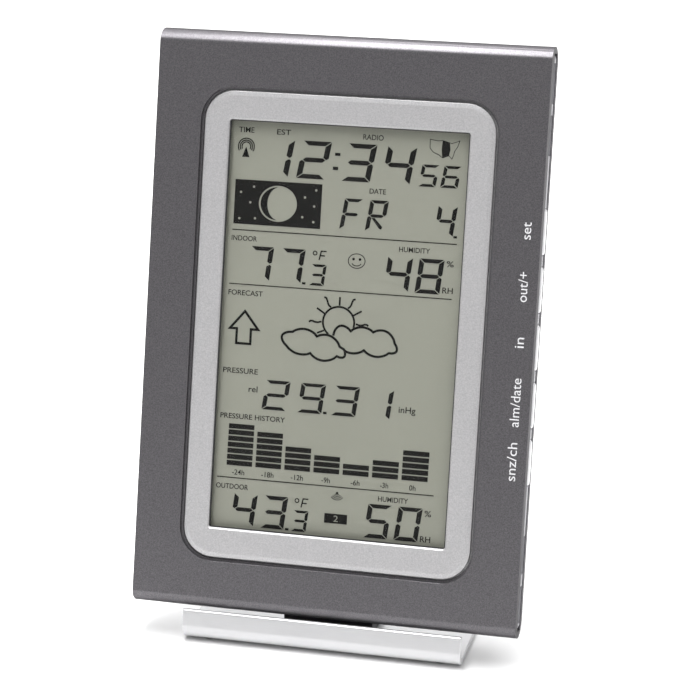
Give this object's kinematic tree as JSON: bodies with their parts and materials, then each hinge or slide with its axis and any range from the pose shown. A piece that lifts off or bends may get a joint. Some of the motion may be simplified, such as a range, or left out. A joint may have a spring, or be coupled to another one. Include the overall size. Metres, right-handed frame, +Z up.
{
  "type": "weather station",
  "caption": "Desk weather station: a leaning display unit with side keys and a rear cell compartment, plugged onto a bent-plate stand.",
  "frame": {"origin": "on the table, under the middle of the whole object's box", "axes": "+Z up, the display faces -Y, the side keys are on +X"},
  "size_m": [0.1323, 0.0658, 0.1997],
  "materials": {
    "fascia_paint": "satin",
    "bezel_silver": "satin",
    "clear_window": "gloss",
    "display_glass": "satin",
    "black_plastic": "matte",
    "black_rubber": "matte",
    "circuit_board": "satin",
    "bright_steel": "satin",
    "copper_wire": "satin",
    "ferrite": "matte",
    "red_insulation": "satin",
    "ribbon": "satin",
    "key_silver": "satin",
    "frame_silver": "satin",
    "rear_grey": "matte",
    "cell_jacket": "satin",
    "stand_satin": "satin",
    "saddle_grey": "matte"
  },
  "bodies": {
    "stand": {"stand_plate": "stand_satin", "stand_saddle": "saddle_grey", "saddle_screw_1": "bright_steel", "saddle_screw_2": "bright_steel", "foot_pad_1": "black_rubber", "foot_pad_2": "black_rubber", "foot_pad_3": "black_rubber", "foot_pad_4": "black_rubber"},
    "display_unit": {"front_fascia": "fascia_paint", "bezel_ring": "bezel_silver", "display_lens": "clear_window", "lcd_glass": "display_glass", "lcd_holder": "black_plastic", "zebra_strip_left": "black_rubber", "zebra_strip_right": "black_rubber", "main_board": "circuit_board", "board_screw_1": "bright_steel", "board_screw_2": "bright_steel", "board_screw_3": "bright_steel", "board_screw_4": "bright_steel", "chip_dome": "black_plastic", "crystal_can": "bright_steel", "pressure_sensor": "bright_steel", "humidity_sensor": "black_plastic", "buzzer": "black_plastic", "receiver_board": "circuit_board", "receiver_antenna": "copper_wire", "ferrite_rod": "ferrite", "ferrite_coil": "copper_wire", "battery_lead_red": "red_insulation", "battery_lead_black": "black_plastic", "key_board": "circuit_board", "key_ribbon": "ribbon", "key_switch_1": "black_plastic", "key_switch_2": "black_plastic", "key_switch_3": "black_plastic", "key_switch_4": "black_plastic", "key_switch_5": "black_plastic", "mid_frame": "frame_silver", "rear_cover": "rear_grey", "battery_lower": "cell_jacket", "battery_upper": "cell_jacket", "battery_spring_lower": "bright_steel", "battery_spring_upper": "bright_steel", "contact_bridge": "bright_steel", "contact_positive": "bright_steel", "contact_negative": "bright_steel", "case_screw_1": "bright_steel", "case_screw_2": "bright_steel", "case_screw_3": "bright_steel", "case_screw_4": "bright_steel"},
    "key_set": {"button_set": "key_silver"},
    "key_out_plus": {"button_out_plus": "key_silver"},
    "key_in": {"button_in": "key_silver"},
    "key_alarm_date": {"button_alarm_date": "key_silver"},
    "key_snooze_channel": {"button_snooze_channel": "key_silver"},
    "battery_lid": {"battery_cover": "rear_grey"}
  },
  "joints": [
    {"name": "unit_lift", "type": "slide", "parent": "stand", "child": "display_unit", "axis": [0, 0.2504, 0.9681], "range_m": [0, 0.03]},
    {"name": "set_press", "type": "slide", "parent": "display_unit", "child": "key_set", "axis": [-1, 0, 0], "range_m": [0, 0.0008], "stiffness_N_per_m": 200, "springref_m": -0.0005},
    {"name": "out_plus_press", "type": "slide", "parent": "display_unit", "child": "key_out_plus", "axis": [-1, 0, 0], "range_m": [0, 0.0008], "stiffness_N_per_m": 200, "springref_m": -0.0005},
    {"name": "in_press", "type": "slide", "parent": "display_unit", "child": "key_in", "axis": [-1, 0, 0], "range_m": [0, 0.0008], "stiffness_N_per_m": 200, "springref_m": -0.0005},
    {"name": "alarm_date_press", "type": "slide", "parent": "display_unit", "child": "key_alarm_date", "axis": [-1, 0, 0], "range_m": [0, 0.0008], "stiffness_N_per_m": 200, "springref_m": -0.0005},
    {"name": "snooze_channel_press", "type": "slide", "parent": "display_unit", "child": "key_snooze_channel", "axis": [-1, 0, 0], "range_m": [0, 0.0008], "stiffness_N_per_m": 200, "springref_m": -0.0005},
    {"name": "battery_lid_off", "type": "slide", "parent": "display_unit", "child": "battery_lid", "axis": [0, 0.9681, -0.2504], "range_m": [0, 0.025]}
  ]
}
